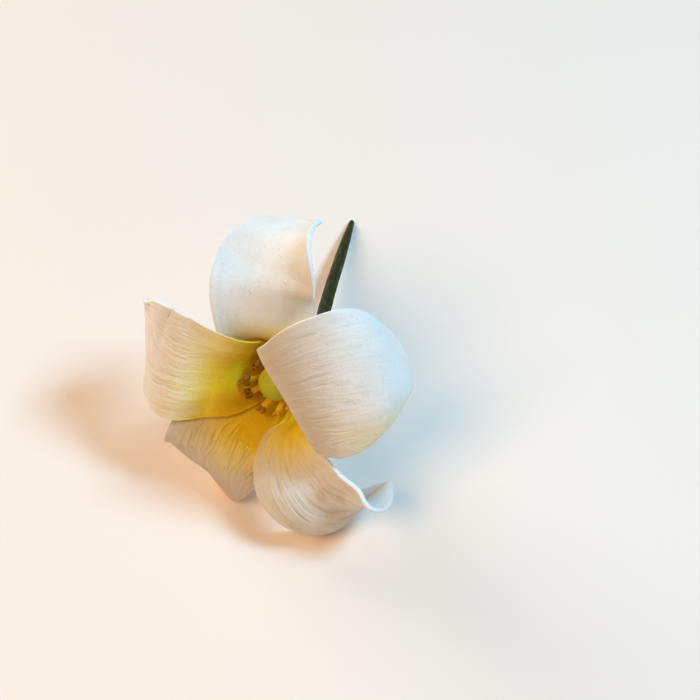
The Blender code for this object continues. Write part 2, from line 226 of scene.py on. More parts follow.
def circle(count):
    """Angles evenly round a circle, from 0."""
    return np.arange(count) * 2 * np.pi / count


def smooth_noise(x, y, seed):
    """Heights from 0 to 1: seeded values at whole-number points, eased between their four neighbours."""
    grid = np.random.default_rng(seed).random((NOISE_SIZE, NOISE_SIZE))
    i, j = np.floor(x).astype(int), np.floor(y).astype(int)
    p, q = ease(x - i, 0, 1), ease(y - j, 0, 1)
    left, right = i % NOISE_SIZE, (i + 1) % NOISE_SIZE
    low = grid[left, j % NOISE_SIZE] * (1 - p) + grid[right, j % NOISE_SIZE] * p
    high = grid[left, (j + 1) % NOISE_SIZE] * (1 - p) + grid[right, (j + 1) % NOISE_SIZE] * p
    return low * (1 - q) + high * q


sample = smooth_noise(np.linspace(0, 9, 99), np.zeros(99), 1)
print("noise along a line runs from", sample.min().round(2), "to", sample.max().round(2))

# %% [markdown]
# ## The petal's shape
# A petal starts as a flat outline cut from foam 1.2 mm thick. The mould bends it twice: along its
# midrib, which climbs out of the throat and curls over, and across, where each side curls by itself.
# The stations give the midrib's reach, rise and drift, its roll, and the curl of both sides. Across
# it, the slope is the curl times the share of the width to a power, so the sheet is gentle in the
# middle and tight at the margin.
#
# The outline has the foot's width as a share of the full one, the taper that says how late the petal
# widens, its lean to one side, and a notch in the clockwise margin. Deep in the throat each margin is
# tucked over (1) or under (-1) its neighbour.

# %% The petals' stations
HALF_FOAM = 0.6 * MM
WIDEST_AT = 0.70
TIP_ROUNDING = 0.72
SIDE_BEND = 1.3
BEND_STEPS = 24
CURVE_STEPS = 400
TUCK = 0.8 * MM
TUCK_ACROSS = (0.1, 0.8)
TUCK_END = (0.35, 0.60)
LEAN_FROM = 0.45
NOTCH_AT = 0.84
NOTCH_SPREAD = 0.08

# Stations: reach, rise, drift in mm, then roll, clockwise curl and counterclockwise curl in degrees.
PETALS = {
    "petal_top": {
        "azimuth": 88, "half_width": 11.7, "foot": 0.45, "taper": 0.8, "lean": 0.25, "tuck": (-1, -1),
        "stations": [
            (6, -16, 0, 0, 50, 50), (10.3, -5, 0.8, 0, 45, 45),
            (14.5, 1.5, 0.5, 22, 0, 32), (23, 5.5, -1, 18, -22, 22),
            (28.5, 3.8, -2.5, 0, -15, 22), (34.2, 1, -5.7, -25, 2, 26),
            (38.2, -2.8, -10.3, -50, 26, 32),
        ],
    },
    "petal_left": {
        "azimuth": 165, "half_width": 13.0, "foot": 0.33, "taper": 0.8, "lean": 0.1, "tuck": (1, 1),
        "stations": [
            (4.5, -16, 0, 0, 50, 50), (8.8, -5, 0, 0, 50, 50),
            (11.7, 3, -1, -14, 38, 30), (18.4, 8.7, -0.7, -2, 15, 0),
            (25.5, 6.4, -2, -2, 3, -20), (31, 1.3, -5.5, -12, 0, -36),
            (34, -1.9, -9.2, -30, 0, -55),
        ],
    },
    "petal_lower_left": {
        "azimuth": 242, "half_width": 13.8, "foot": 0.3, "taper": 0.8, "lean": -0.4,
        "notch": 0.43, "tuck": (-1, -1),
        "stations": [
            (6, -16, 0, 0, 50, 50), (10.3, -5, 0, 0, 35, 35),
            (14, 1.5, -1.5, -3, 5, 5), (17.2, 4.5, -0.3, -7, -22, -22),
            (21.7, 4.6, 1, 8, -20, -55), (28, 0.8, 4.8, 20, -20, 10),
        ],
    },
    "petal_bottom": {
        "azimuth": 312, "half_width": 12.7, "foot": 0.34, "taper": 2.8, "lean": 0.17, "tuck": (1, -1),
        "stations": [
            (5.8, -16, 0, 0, 50, 45), (9.8, -5, 0, 5, 55, 40),
            (11.5, 1.3, -3.6, -19, -6, 51), (17.8, 8, -5.4, -25, -67, 50),
            (26, 9.4, -5.8, -17, -99, 56), (32.6, 3.9, -2.8, -12, -80, 64),
            (33.5, -5, 6, 4, -54, 54),
        ],
    },
    "petal_right": {
        "azimuth": 19, "half_width": 16.4, "foot": 0.25, "taper": 2.6, "lean": 0.17, "tuck": (1, 1),
        "stations": [
            (4.5, -16, 0, 0, 50, 50), (8.8, -5, 0, 0, 55, 55),
            (8.9, 5.3, 0.5, 2, 18, 8), (10.8, 14.2, -1.4, 14, -6, -15),
            (19.6, 15.2, -2.3, 12, -14, -12), (29.8, 10.7, -4.4, 7, -41, -22),
            (33.6, 1.1, -6.3, 14, -27, 5),
        ],
    },
}


def petal_width(petal, u):
    """Half the flat petal's width: it swells as a power of a sine, then rounds off toward the tip."""
    swell = np.sin(np.pi / 2 * np.clip(u / WIDEST_AT, 0, 1)) ** petal["taper"]
    rising = petal["foot"] + (1 - petal["foot"]) * swell
    past = np.clip((u - WIDEST_AT) / (1 - WIDEST_AT), 0, 1)
    return petal["half_width"] * MM * np.where(u < WIDEST_AT, rising, (1 - past**2) ** TIP_ROUNDING)


def midrib(petal, u):
    """At the shares u of the midrib: points, forward directions, sideways, rolls and curls, the length."""
    azimuth = math.radians(petal["azimuth"])
    places = np.array([
        [math.cos(azimuth), math.sin(azimuth), 0.0],
        [0.0, 0.0, 1.0],
        [-math.sin(azimuth), math.cos(azimuth), 0.0],
    ])
    stations = petal["stations"]
    fine = np.linspace(0, len(stations) - 1, CURVE_STEPS)
    curve = smooth_through(stations, fine)[:, :3] @ places * MM
    length = np.concatenate([[0.0], np.cumsum(np.linalg.norm(np.diff(curve, axis=0), axis=1))])
    values = smooth_through(stations, np.interp(u * length[-1], length, fine))
    slope = np.gradient(curve, length, axis=0)
    forward = unit(np.stack([np.interp(u * length[-1], length, slope[:, k]) for k in range(3)], 1))
    return values[:, :3] @ places * MM, forward, places[2], values[:, 3:], length[-1]


def petal_middle(petal, u, v):
    """The sheet's middle at length shares u (rows) and width shares v (rows, columns), -1 to 1."""
    centre, forward, sideways, values, _ = midrib(petal, u)
    across = unit(sideways - (forward @ sideways)[:, None] * forward)
    inward = np.cross(forward, across)
    roll = np.radians(values[:, :1])
    across, inward = (
        across * np.cos(roll) + inward * np.sin(roll),
        inward * np.cos(roll) - across * np.sin(roll),
    )
    side, span = np.sign(v), np.abs(v)
    curl = np.radians(np.where(side < 0, values[:, 1:2], values[:, 2:3]))
    steps = (np.arange(BEND_STEPS) + 0.5) / BEND_STEPS
    slope = curl[..., None] * (span[..., None] * steps) ** SIDE_BEND
    out = side * span * np.cos(slope).mean(-1)
    rise = span * np.sin(slope).mean(-1)
    dent = petal.get("notch", 0) * np.exp(-(((u - NOTCH_AT) / NOTCH_SPREAD) ** 2))[:, None]
    width = petal_width(petal, u)[:, None] * (1 + side * petal["lean"] * ease(u, LEAN_FROM, 1.0)[:, None])
    width = width * (1 - np.where(side < 0, dent, 0.0))
    layer = np.where(side < 0, *petal["tuck"]) * ease(span, *TUCK_ACROSS)
    lift = width * rise + TUCK * (layer * (1 - ease(u, *TUCK_END))[:, None])
    return centre[:, None] + across[:, None] * (width * out)[..., None] + inward[:, None] * lift[..., None]


for name, petal in PETALS.items():
    print(name, "is", round(midrib(petal, np.array([0.0]))[4] / MM, 1), "mm long")

# %% [markdown]
# ## The cut edge and the veins
# Craft foam is cut with scissors, so its edge is a flat band as wide as the foam is thick, with soft
# corners. A superellipse has that form: with both counted in half thicknesses, the cube of the
# height over the middle is 1 - (1 - distance from the rim)^3. The rows and columns crowd at the rim
# to follow it. The veins are ridges of long noise at two spacings.

# %% Make the petals' grids
EDGE_STEPS = 7
EDGE_POWER = 3.0
INNER_COLUMNS = 84
INNER_ROWS = 150
ROW_CROWDING = 1.35
VEIN_STEPS_BROAD = 8
VEIN_STEPS_FINE = 14
VEIN_FINER = 1.9
VEIN_WOBBLE = 1.4


def rim_distances(count):
    """Distances from the rim, as shares of the half thickness, that follow the rounded edge."""
    return 1 - np.cos(np.linspace(0, np.pi / 2, count)) ** (2 / EDGE_POWER)


def petal_rows(length):
    """Length shares of the rows: crowded at both ends, and closer toward the tip."""
    edge = rim_distances(EDGE_STEPS) * HALF_FOAM / length
    share = np.linspace(0, 1, INNER_ROWS + 2)[1:-1]
    body = edge[-1] + (1 - 2 * edge[-1]) * (1 - (1 - share) ** ROW_CROWDING)
    return np.concatenate([edge, body, 1 - edge[:0:-1]])


def petal_columns(width):
    """Width shares of the columns in each row, from -1 to 1, for the half widths of the rows."""
    edge = np.minimum(HALF_FOAM, width / 2)[:, None]
    inner = edge + (width[:, None] - edge) * np.linspace(0, 1, INNER_COLUMNS)[None, 1:]
    from_rim = np.concatenate([edge * rim_distances(EDGE_STEPS)[None], inner], 1)
    half = 1 - from_rim / width[:, None]
    return np.concatenate([-half[:, :-1], half[:, ::-1]], 1)


def veins(u, v, seed, count):
    """Ridges 1 - |2 n - 1| of noise n that is long along the petal, half broad and half fine."""
    wobble = smooth_noise(v * 4 + 9, u * 7, seed + 1) * VEIN_WOBBLE
    broad = smooth_noise(v * count + wobble + 40, u * VEIN_STEPS_BROAD, seed)
    fine = smooth_noise(v * count * VEIN_FINER + wobble * 2 + 30, u * VEIN_STEPS_FINE, seed + 2)
    return (1 - np.abs(2 * broad - 1)) * 0.5 + (1 - np.abs(2 * fine - 1)) * 0.5


def sheet_faces(rows, columns):
    """Faces of a front and a back grid that share three rims, and of the fans at the tip's pole."""
    front = np.arange(rows * columns).reshape(rows, columns)
    back = front.copy()
    back[1:, 1:-1] = rows * columns + np.arange((rows - 1) * (columns - 2)).reshape(rows - 1, columns - 2)
    quads = []
    for grid, order in ((front, (0, 1, 2, 3)), (back, (3, 2, 1, 0))):
        corners = np.stack([grid[:-1, :-1], grid[1:, :-1], grid[1:, 1:], grid[:-1, 1:]], -1)
        quads.append(corners[..., order].reshape(-1, 4))
    pole = np.full(columns - 1, back.max() + 1)
    front_fan = np.stack([front[-1, :-1], pole, front[-1, 1:]], 1)
    back_fan = np.stack([back[-1, 1:], pole, back[-1, :-1]], 1)
    return np.concatenate(quads), np.concatenate([front_fan, back_fan])


def sheet_values(front, back, pole):
    """Values of the points in the order of sheet_faces."""
    tail = front.shape[2:]
    return np.concatenate([front.reshape(-1, *tail), back[1:, 1:-1].reshape(-1, *tail), pole[None]])


print("a petal's grid has", len(petal_rows(50 * MM)), "rows")

# %% [markdown]
# ## Shader maths as plain expressions
# A material's colours come from sums and products of patterns, and one small class lets them be
# written that way. It wraps a node's output. An operator adds a Math node, and the node method adds
# any other: first it sets the settings, then it sets or links the sockets.

# %% The class for shader maths


class Shade:
    """A node's output in a material. Operators on it add Math nodes, and node() adds any other."""

    def __init__(self, tree, socket=None):
        self.tree = tree
        self.socket = socket

    def node(self, kind, settings, values, out=0):
        """Adds a node and wraps one of its outputs."""
        made = self.tree.nodes.new("ShaderNode" + kind)
        for key, value in settings.items():
            setattr(made, key, value)
        set_sockets(self.tree, made, values)
        return Shade(self.tree, made.outputs[out])

    def maths(self, operation, one, other):
        """A Math node on two values or links."""
        return self.node("Math", {"operation": operation}, {0: one, 1: other})

    def __add__(self, other):
        return self.maths("ADD", self, other)

    def __sub__(self, other):
        return self.maths("SUBTRACT", self, other)

    def __rsub__(self, other):
        return self.maths("SUBTRACT", other, self)

    def __mul__(self, other):
        return self.maths("MULTIPLY", self, other)

    __radd__ = __add__

    def ease(self, start, end):
        """0 below start, 1 above end, and a smooth way between them."""
        settings = {"interpolation_type": "SMOOTHSTEP"}
        return self.node("MapRange", settings, {"Value": self, "From Min": start, "From Max": end})

    def blend(self, colour, other):
        """The colour where this value is 0, and the other where it is 1."""
        ends = [(*end, 1.0) if isinstance(end, tuple) else end for end in (colour, other)]
        return self.node("Mix", {"data_type": "RGBA"}, {0: self, 6: ends[0], 7: ends[1]}, out=2)

    def attribute(self, name):
        """A value that the mesh holds at its points."""
        return self.node("Attribute", {"attribute_name": name}, {}, out=2)

    def bump(self, height, strength, distance):
        """A normal that leans as if the surface had this height."""
        return self.node("Bump", {}, {"Strength": strength, "Distance": distance, "Height": height})

    def noise(self, scale, detail=2.0, roughness=0.5, vector=None):
        """Noise from 0 to 1: so many lumps to a metre of the object, or to a unit of the vector."""
        vector = vector or self.node("TexCoord", {}, {}, out=3)
        values = {"Vector": vector, "Scale": scale, "Detail": detail, "Roughness": roughness}
        return self.node("TexNoise", {}, values)

    def streaks(self, scale, detail, roughness, stretch):
        """Noise that is long along a piece: it reads the piece's own millimetres across and along."""
        along = self.attribute("along") * stretch
        vector = self.node("CombineXYZ", {}, {0: self.attribute("across"), 1: along, 2: 0.0})
        return self.noise(scale, detail, roughness, vector)


def set_sockets(tree, node, values):
    """Sets a node's sockets to plain values, or links them to Shades."""
    for key, value in values.items():
        if isinstance(value, Shade):
            tree.links.new(value.socket, node.inputs[key])
        else:
            node.inputs[key].default_value = value


def new_material(name):
    """A material with a Principled shader, and an empty Shade to start its expressions from."""
    material = bpy.data.materials.new(name)
    material.use_nodes = True
    return material, Shade(material.node_tree)


def finished(material, sockets):
    """The material, once its Principled shader's sockets are set or linked."""
    tree = material.node_tree
    set_sockets(tree, tree.nodes["Principled BSDF"], sockets)
    return material


print("Math nodes come from +, - and * on a Shade")

# %% [markdown]
# ## The foam's finish
# The foam is cream with a soft, nearly matte skin, and it was tinted by hand: golden deep in the
# throat, yellow a little further out, then fading into the cream along streaks that follow the
# veins. The cut edge is paler. The grooves between the veins are painted browner as shade, and
# most petals get painted shade that is darker toward the throat. The petals bring these as values
# at their points, with the millimetres along and across for the streaks. The fine grain and the
# tiny pimples read the object's own coordinates instead, so they are even all over.

# %% Foam material
CREAM = (0.87, 0.78, 0.67)
BLUSH = (0.82, 0.69, 0.56)
# A browner colour painted into the grooves between the veins as shade.
CREASE_PAINTED_SHADE = (0.60, 0.47, 0.36)
# A darker colour painted over parts of the petals as shade.
PAINTED_SHADE_COLOUR = (0.58, 0.44, 0.31)
CUT_PALE = (0.88, 0.85, 0.81)
GOLD = (0.84, 0.54, 0.004)
YELLOW = (0.90, 0.68, 0.15)

# Lumps to the metre, except for the streaks, which have theirs to the millimetre.
MOTTLE_SCALE = 260.0
PIMPLE_SCALE = 1500.0
GRAIN_SCALE = 5200.0
STREAK_SCALE = 0.9
STREAK_STRETCH = 0.12


def foam_material():
    """Cream foam whose tint runs from gold through yellow to cream by the petal's own tint value."""
    material, shade = new_material("petal_foam_skin")
    streaks = shade.streaks(STREAK_SCALE, 3.0, 0.6, STREAK_STRETCH)
    mottle = shade.noise(MOTTLE_SCALE, 3.0)
    tint = shade.attribute("tint") + (streaks - 0.5) * 0.35
    body = (mottle.ease(0.35, 0.7) * 0.5 + streaks.ease(0.4, 0.8) * 0.35).blend(CREAM, BLUSH)
    # Painted shade over parts of each petal.
    body = shade.attribute("painted_shade").blend(body, PAINTED_SHADE_COLOUR)
    # Painted shade in the grooves between the veins.
    body = (shade.attribute("crease_painted_shade") * 0.85).blend(body, CREASE_PAINTED_SHADE)
    coloured = tint.ease(0.0, 0.85).blend(body, YELLOW)
    coloured = tint.ease(0.5, 1.0).blend(coloured, GOLD)
    pale = shade.attribute("cut") * (1 - shade.attribute("tint").ease(0.05, 0.4))
    grain = shade.noise(GRAIN_SCALE)
    pimples = shade.noise(PIMPLE_SCALE, 1.0).ease(0.58, 0.8)
    height = grain * 0.5 + pimples * 1.9 + streaks * shade.attribute("veined") * 2.2
    return finished(material, {
        "Base Color": pale.blend(coloured, CUT_PALE),
        "Roughness": 0.62 - mottle * 0.12,
        "Normal": shade.bump(height, 0.5, 0.12 * MM),
        "Specular IOR Level": 0.45,
        "Subsurface Weight": 0.15,
        "Subsurface Radius": (1.0, 0.6, 0.3),
        "Subsurface Scale": 1.2 * MM,
    })


foam = foam_material()
print("the foam has", len(foam.node_tree.nodes), "nodes")

# %% [markdown]
# ## Each petal's own look
# All five petals come from one formula, but each left the mould and the dye a little different, and
# each has its own painted shade. The veins have a height in millimetres, a count to the half width,
# and places along where they start, are full, fade and are gone. The tint fades over one band, the
# margins are pared thin up to another, and the painted shade has an amount and a band. One petal
# also has a patch of painted warm light. All places are shares of the petal's length.

# %% Petal looks
# Each petal's band of painted shade is set here, and one petal's patch of painted warm light.
PLAIN = {"smooth_from": 2, "pale_side": 0, "painted_warm_light": 0}
PETAL_LOOKS = {
    "petal_top": {
        **PLAIN, "seed": 11, "veins": 0.05, "count": 12, "along": (0.30, 0.45, 0.60, 0.95),
        "tint": (0.18, 0.54), "pared": (0.36, 0.46), "painted_shade": (0.10, 0.58, 0.76),
    },
    "petal_left": {
        **PLAIN, "seed": 23, "veins": 0.36, "count": 12, "along": (0.34, 0.60, 0.88, 1.00),
        "tint": (0.30, 0.76), "pared": (0.50, 0.66), "painted_shade": (0.25, 2, 3), "pale_side": 0.07,
    },
    "petal_lower_left": {
        **PLAIN, "seed": 37, "veins": 0.56, "count": 13, "along": (0.36, 0.55, 0.85, 1.00),
        "tint": (0.42, 0.92), "pared": (0.36, 0.46), "painted_shade": (0.95, 2, 3), "pale_side": 0.24,
    },
    "petal_bottom": {
        **PLAIN, "seed": 41, "veins": 0.50, "count": 13, "along": (0.26, 0.42, 0.72, 0.96),
        "tint": (0.24, 0.60), "pared": (0.30, 0.40), "painted_shade": (0.50, 0.66, 1.0), "pale_side": 0.12,
        "smooth_from": 0.50,
    },
    "petal_right": {
        **PLAIN, "seed": 59, "veins": 0.40, "count": 16, "along": (0.44, 0.55, 0.62, 0.88),
        "tint": (0.22, 0.40), "pared": (0.20, 0.30), "painted_shade": (0.85, 0.54, 0.76), "painted_warm_light": 0.32,
    },
}
print("vein heights, mm:", {name: looks["veins"] for name, looks in PETAL_LOOKS.items()})

# %% [markdown]
# ## What the finish reads at each point
# Some of a petal's looks follow its form, so they are worked out at its points, as values from 0 to
# 1. The tint fades outward. A rim takes it too where the skin beside it is deeply tinted, and on the
# back only that rim has it. The cut is the edge's own band, the crease shade is painted shade in the
# groove between two veins, and the veined value says how far the streaks stand up. The painted
# shade darkens each petal over a band, and one petal has a patch of painted warm light, with more
# painted shade in it.

# %% Values for the finish
# Shares of the half width:
VEINS_END = (0.75, 1.0)
SMOOTH_BAND = 0.3
WARM_ACROSS = (0.1, 0.7)
# Shares of the length:
WARM_START = (0.58, 0.76)
WARM_END = (0.88, 1.0)
# Half thicknesses in from the rim:
CUT_BAND = 0.22
RIM_BAND = (0.4, 1.6)
WRAP_BAND = (1.0, 2.5)
# A tint, a share of a ridge's height below which the groove gets painted shade, a height in mm,
# and the share of painted shade in the patch of painted warm light:
RIM_TAKES_TINT = (0.45, 0.8)
GROOVE = (0.15, 0.6)
FULL_VEIN = 0.5
WARM_PATCH_PAINTED_SHADE = 0.6


def vein_fullness(looks, rows, v):
    """0 to 1: eased in and out along the petal, and out toward both margins and a smooth side."""
    start, full, fading, gone = looks["along"]
    fullness = ease(rows, start, full) * (1 - ease(rows, fading, gone)) * (1 - ease(np.abs(v), *VEINS_END))
    return fullness * (1 - ease(-v, looks["smooth_from"], looks["smooth_from"] + SMOOTH_BAND))


def finish_values(looks, rows, v, from_rim, fullness, ridges):
    """Pairs of values, front and back: each is a product of eases along, across and in from the rim."""
    veined = fullness * looks["veins"] / FULL_VEIN
    # Painted shade in the groove between two veins, where the ridge is low.
    crease_painted_shade = veined * (1 - ease(ridges, *GROOVE))
    # A patch of painted warm light on one petal: it adds tint there, and painted shade.
    warm = ease(-v, *WARM_ACROSS) * ease(rows, *WARM_START) * (1 - ease(rows, *WARM_END))
    tint = 1 - ease(rows + looks["pale_side"] * np.clip(-v, 0, 1), *looks["tint"])
    tint = tint + looks["painted_warm_light"] * warm
    tint = tint + (1 - tint) * (1 - ease(from_rim, *RIM_BAND)) * ease(tint, *RIM_TAKES_TINT)
    # Painted shade: full up to one place along the petal and gone by another, and more in the warm patch.
    amount, fading, gone = looks["painted_shade"]
    painted_shade = amount * (1 - ease(rows, fading, gone)) + looks["painted_warm_light"] * WARM_PATCH_PAINTED_SHADE * warm
    cut = 1 - ease(from_rim, CUT_BAND * 0.5, CUT_BAND)
    return {
        "tint": (tint, tint * (1 - ease(from_rim, *WRAP_BAND))),
        "cut": (cut, cut),
        "veined": (veined, veined * 0.5),
        "crease_painted_shade": (crease_painted_shade, crease_painted_shade * 0.0),
        "painted_shade": (painted_shade, painted_shade * 0.5),
    }


print("the cut edge's colour ends", round(CUT_BAND * HALF_FOAM / MM, 2), "mm in from the rim")

# %% [markdown]
# ## The petals
# A petal is built outward from the middle of its sheet. The veins push the middle along its normal,
# so both faces move together, as in a mould. A front and a back lie half the foam's thickness to
# either side. Deep in the throat, a margin that lies over its neighbour is pared thin from the
# front, so that the glued layers lie flat.

# %% Make the petals
PARED = 1.7
PARED_BAND = (0.55, 0.97)


def make_petal(name, petal, looks, material):
    """A petal piece: the sheet's middle, lifted by its veins, with a front and a back beside it."""
    length = midrib(petal, np.array([0.0]))[4]
    u = petal_rows(length)
    width = np.maximum(petal_width(petal, u), 1e-7)
    v = petal_columns(width)
    rows = u[:, None] + 0 * v
    middle = petal_middle(petal, u, v)
    normal = unit(np.cross(np.gradient(middle, axis=0), np.gradient(middle, axis=1)))
    from_side = (1 - np.abs(v)) * width[:, None]
    from_ends = np.minimum(u, 1 - u)[:, None] * length
    from_rim = np.minimum(from_side, from_ends) / HALF_FOAM
    half = HALF_FOAM * (1 - (1 - np.clip(from_rim, 0, 1)) ** EDGE_POWER) ** (1 / EDGE_POWER)
    fullness = vein_fullness(looks, rows, v)
    ridges = veins(rows, v, looks["seed"], looks["count"])
    middle = middle + normal * (looks["veins"] * MM * fullness * (ridges - 0.5))[..., None]
    pared = PARED * (1 - ease(rows, *looks["pared"])) * ease(np.abs(v), *PARED_BAND)
    pared = pared * np.where(np.where(v < 0, *petal["tuck"]) > 0, 1, 0)
    front = middle + normal * (half * (1 - pared))[..., None]
    back = middle - normal * half[..., None]
    points = lay_down(sheet_values(front, back, middle[-1, middle.shape[1] // 2]))
    along, across = rows * length / MM, v * width[:, None] / MM
    zero = np.zeros(())
    attributes = {
        "along": sheet_values(along, along, np.array(length / MM)),
        "across": sheet_values(across, across, zero),
    }
    for key, (on_front, on_back) in finish_values(looks, rows, v, from_rim, fullness, ridges).items():
        attributes[key] = sheet_values(on_front, on_back, zero)
    new_piece("foam_" + name, [name], points, sheet_faces(*v.shape), material, attributes)


for name, petal in PETALS.items():
    make_petal(name, petal, PETAL_LOOKS[name], foam)

# %% [markdown]
# ## The plug in the throat
# The petals' feet are glued round a plug of the same foam, and its top is the throat's floor. Only a
# little of it shows between the stamens. It is a turned shape, so a profile is enough: a list of
# radius and height from the bottom to the top, rounded at both rims and carried round the axis.

# %% Plug
CORE_TOP = -12.6 * MM
CORE_BOTTOM = -18.0 * MM
CORE_RADIUS = 3.1 * MM
CORE_TOP_RADIUS = 3.7 * MM
CORE_EDGE = 0.8 * MM
CORE_SIDES = 48
UP = np.array([0.0, 0.0, 1.0])
THROAT_DYE = (0.60, 0.30, 0.012)
THROAT_DARK = (0.36, 0.15, 0.006)


def arc(radius_at, height_at, radius, start, end, count):
    """Points (radius, height) on an arc about (radius_at, height_at), with its angles in degrees."""
    angle = np.radians(np.linspace(start, end, count))
    return np.stack([radius_at + radius * np.cos(angle), height_at + radius * np.sin(angle)], 1)


def about_axis(radius, angle, height):
    """Points at a radius, an angle and a height about the flower's axis."""
    return np.stack([radius * np.cos(angle), radius * np.sin(angle), height + 0 * angle], -1)


def turned(profile, sides):
    """Rings about the flower's axis through a profile's inner points, and its two ends as poles."""
    rings = about_axis(profile[1:-1, :1], circle(sides), profile[1:-1, 1:])
    return rings, profile[[0, -1], 1:] * UP


def plain_foam_material(name, colour, darker):
    """Tinted foam of one colour, darker in blotches, with the same grain as the petals."""
    material, shade = new_material(name)
    blotches = shade.noise(700.0, 3.0)
    grain = shade.noise(GRAIN_SCALE)
    return finished(material, {
        "Base Color": blotches.ease(0.35, 0.7).blend(colour, darker),
        "Roughness": 0.7 - blotches * 0.1,
        "Normal": shade.bump(grain + blotches, 0.6, 0.15 * MM),
    })


core_profile = np.concatenate([
    [(0.0, CORE_BOTTOM)],
    arc(CORE_RADIUS - CORE_EDGE, CORE_BOTTOM + CORE_EDGE, CORE_EDGE, -88, 0, 8),
    arc(CORE_TOP_RADIUS - CORE_EDGE, CORE_TOP - CORE_EDGE, CORE_EDGE, 0, 88, 8),
    [(0.0, CORE_TOP)],
])
core_rings, core_poles = turned(core_profile, CORE_SIDES)
new_piece(
    "throat_plug", ["throat_core"],
    lay_down(tube_points(core_rings[None], core_poles[None])), tube_faces(*core_rings.shape[:2]),
    plain_foam_material("throat_foam_skin", THROAT_DYE, THROAT_DARK), {},
)

# %% [markdown]
# ## The bead
# A green bead on a short style stands in the middle of the throat. It is round and satin rather than
# glossy. Its green carries painted light: painted shade makes it darker at the top and the foot, and
# a painted highlight makes it yellower in a band round the middle. It is turned too, with very
# shallow lumps from the noise.

# %% Bead and style
GAP = 0.3 * MM
STYLE_RADIUS = 1.1 * MM
BEAD_ROWS = 48
BEAD_SIDES = 96
BEAD_LUMPS = 0.012
# Painted light on the bead: shade at the foot and the crown, and a highlight band between them.
BEAD_FOOT_PAINTED_SHADE = (0.24, 0.18, 0.003)
BEAD_PAINTED_HIGHLIGHT = (0.70, 0.67, 0.07)
BEAD_CROWN_PAINTED_SHADE = (0.46, 0.45, 0.02)


def bead_material():
    """Satin green: a painted yellow-green highlight band, painted shade at both ends, fine mottling."""
    material, shade = new_material("bead_satin")
    mottle = shade.noise(900.0, 3.0)
    height = shade.attribute("height") + (mottle - 0.5) * 0.45
    # Painted shade at the foot, a painted highlight in the middle, painted shade at the crown.
    colour = height.ease(0.1, 0.5).blend(BEAD_FOOT_PAINTED_SHADE, BEAD_PAINTED_HIGHLIGHT)
    colour = height.ease(0.62, 0.92).blend(colour, BEAD_CROWN_PAINTED_SHADE)
    grain = shade.noise(4200.0)
    return finished(material, {
        "Base Color": colour,
        "Roughness": 0.36 + mottle * 0.12,
        "Normal": shade.bump(grain, 0.35, 0.08 * MM),
        "Specular IOR Level": 0.25,
        "Subsurface Weight": 0.1,
        "Subsurface Radius": (0.6, 1.0, 0.2),
        "Subsurface Scale": 1.0 * MM,
    })


meet = math.degrees(math.acos(STYLE_RADIUS / BEAD_RADIUS))
style_foot = CORE_TOP + GAP
bead_profile = np.concatenate([
    [(0.0, style_foot), (STYLE_RADIUS * 0.9, style_foot), (STYLE_RADIUS, style_foot + 0.1 * MM)],
    arc(0.0, BEAD_CENTRE, BEAD_RADIUS, -meet, 89, BEAD_ROWS),
    [(0.0, BEAD_CENTRE + BEAD_RADIUS)],
])
bead_rings, bead_poles = turned(bead_profile, BEAD_SIDES)
lumps = smooth_noise(np.cos(circle(BEAD_SIDES))[None] * 2 + 5, bead_rings[..., 2] / MM * 0.8 + 20, 3) - 0.5
bead_rings[..., :2] *= 1 + BEAD_LUMPS * lumps[..., None]
bead_points = np.concatenate([bead_rings.reshape(-1, 3), bead_poles])
bead_share = (bead_points[:, 2] - BEAD_CENTRE) / BEAD_RADIUS / 2 + 0.5
new_piece(
    "green_bead", ["pistil"],
    lay_down(bead_points), tube_faces(*bead_rings.shape[:2]), bead_material(), {"height": bead_share},
)

# %% [markdown]
# ## The stamens' filaments
# Eleven flat filaments of dyed paper rise from a collar round the style and lean out to the petals.
# They were bent by hand, so each one differs a little. A filament is a flat ellipse carried along a
# curve in the plane through the axis, all eleven at once: the arrays have one more dimension, for
# the copies. The ring of tips is wider and higher on one side.

# %% Stamens: filaments
COLLAR_HEIGHT = -11.4 * MM
COLLAR_RADIUS = 2.4 * MM
COLLAR_THICKNESS = 1.8 * MM
STAMENS = 11
STAMEN_START = 10.0
RING_RADIUS = 6.1 * MM
RING_HEIGHT = -4.2 * MM
RING_DROOP = 0.9 * MM
DROOP_TOWARD = 235.0
STRAP_WIDTH = 1.35 * MM
STRAP_DEPTH = 0.55 * MM
STRAP_BENDS = ((4.0 * MM, -9.8 * MM), (5.2 * MM, -7.2 * MM))
STRAP_ROWS = 28
STRAP_SIDES = 16
STRAP_FOOT = (0.55, 0.24, 0.004)
STRAP_DYE = (0.98, 0.60, 0.008)
STRAP_TIP = (0.62, 0.28, 0.01)

chance = np.random.default_rng(7)
azimuth = np.radians(STAMEN_START + np.arange(STAMENS) * 360 / STAMENS)
azimuth = azimuth + np.radians(chance.uniform(-4, 4, STAMENS))
outward = about_axis(1, azimuth, 0)
sideways = np.cross(UP, outward)
droop = RING_DROOP * np.cos(azimuth - math.radians(DROOP_TOWARD))
reach = RING_RADIUS + droop + chance.uniform(-0.3, 0.15, STAMENS) * MM
height = RING_HEIGHT + droop + chance.uniform(-0.4, 0.4, STAMENS) * MM


def strap_paths():
    """Paths of the filaments: a smooth curve through four points each, and its forward directions."""
    still = np.ones(STAMENS)
    stops = ((COLLAR_RADIUS, COLLAR_HEIGHT), *STRAP_BENDS)
    route = [np.stack([still * out, still * up], 1) for out, up in stops]
    route = np.stack([*route, np.stack([reach, height], 1)]).reshape(4, -1)
    plane = smooth_through(route, np.linspace(0, 3, STRAP_ROWS))
    plane = plane.reshape(STRAP_ROWS, STAMENS, 2).transpose(1, 0, 2)
    path = plane[..., :1] * outward[:, None] + plane[..., 1:] * UP
    return path, unit(np.gradient(path, axis=1))


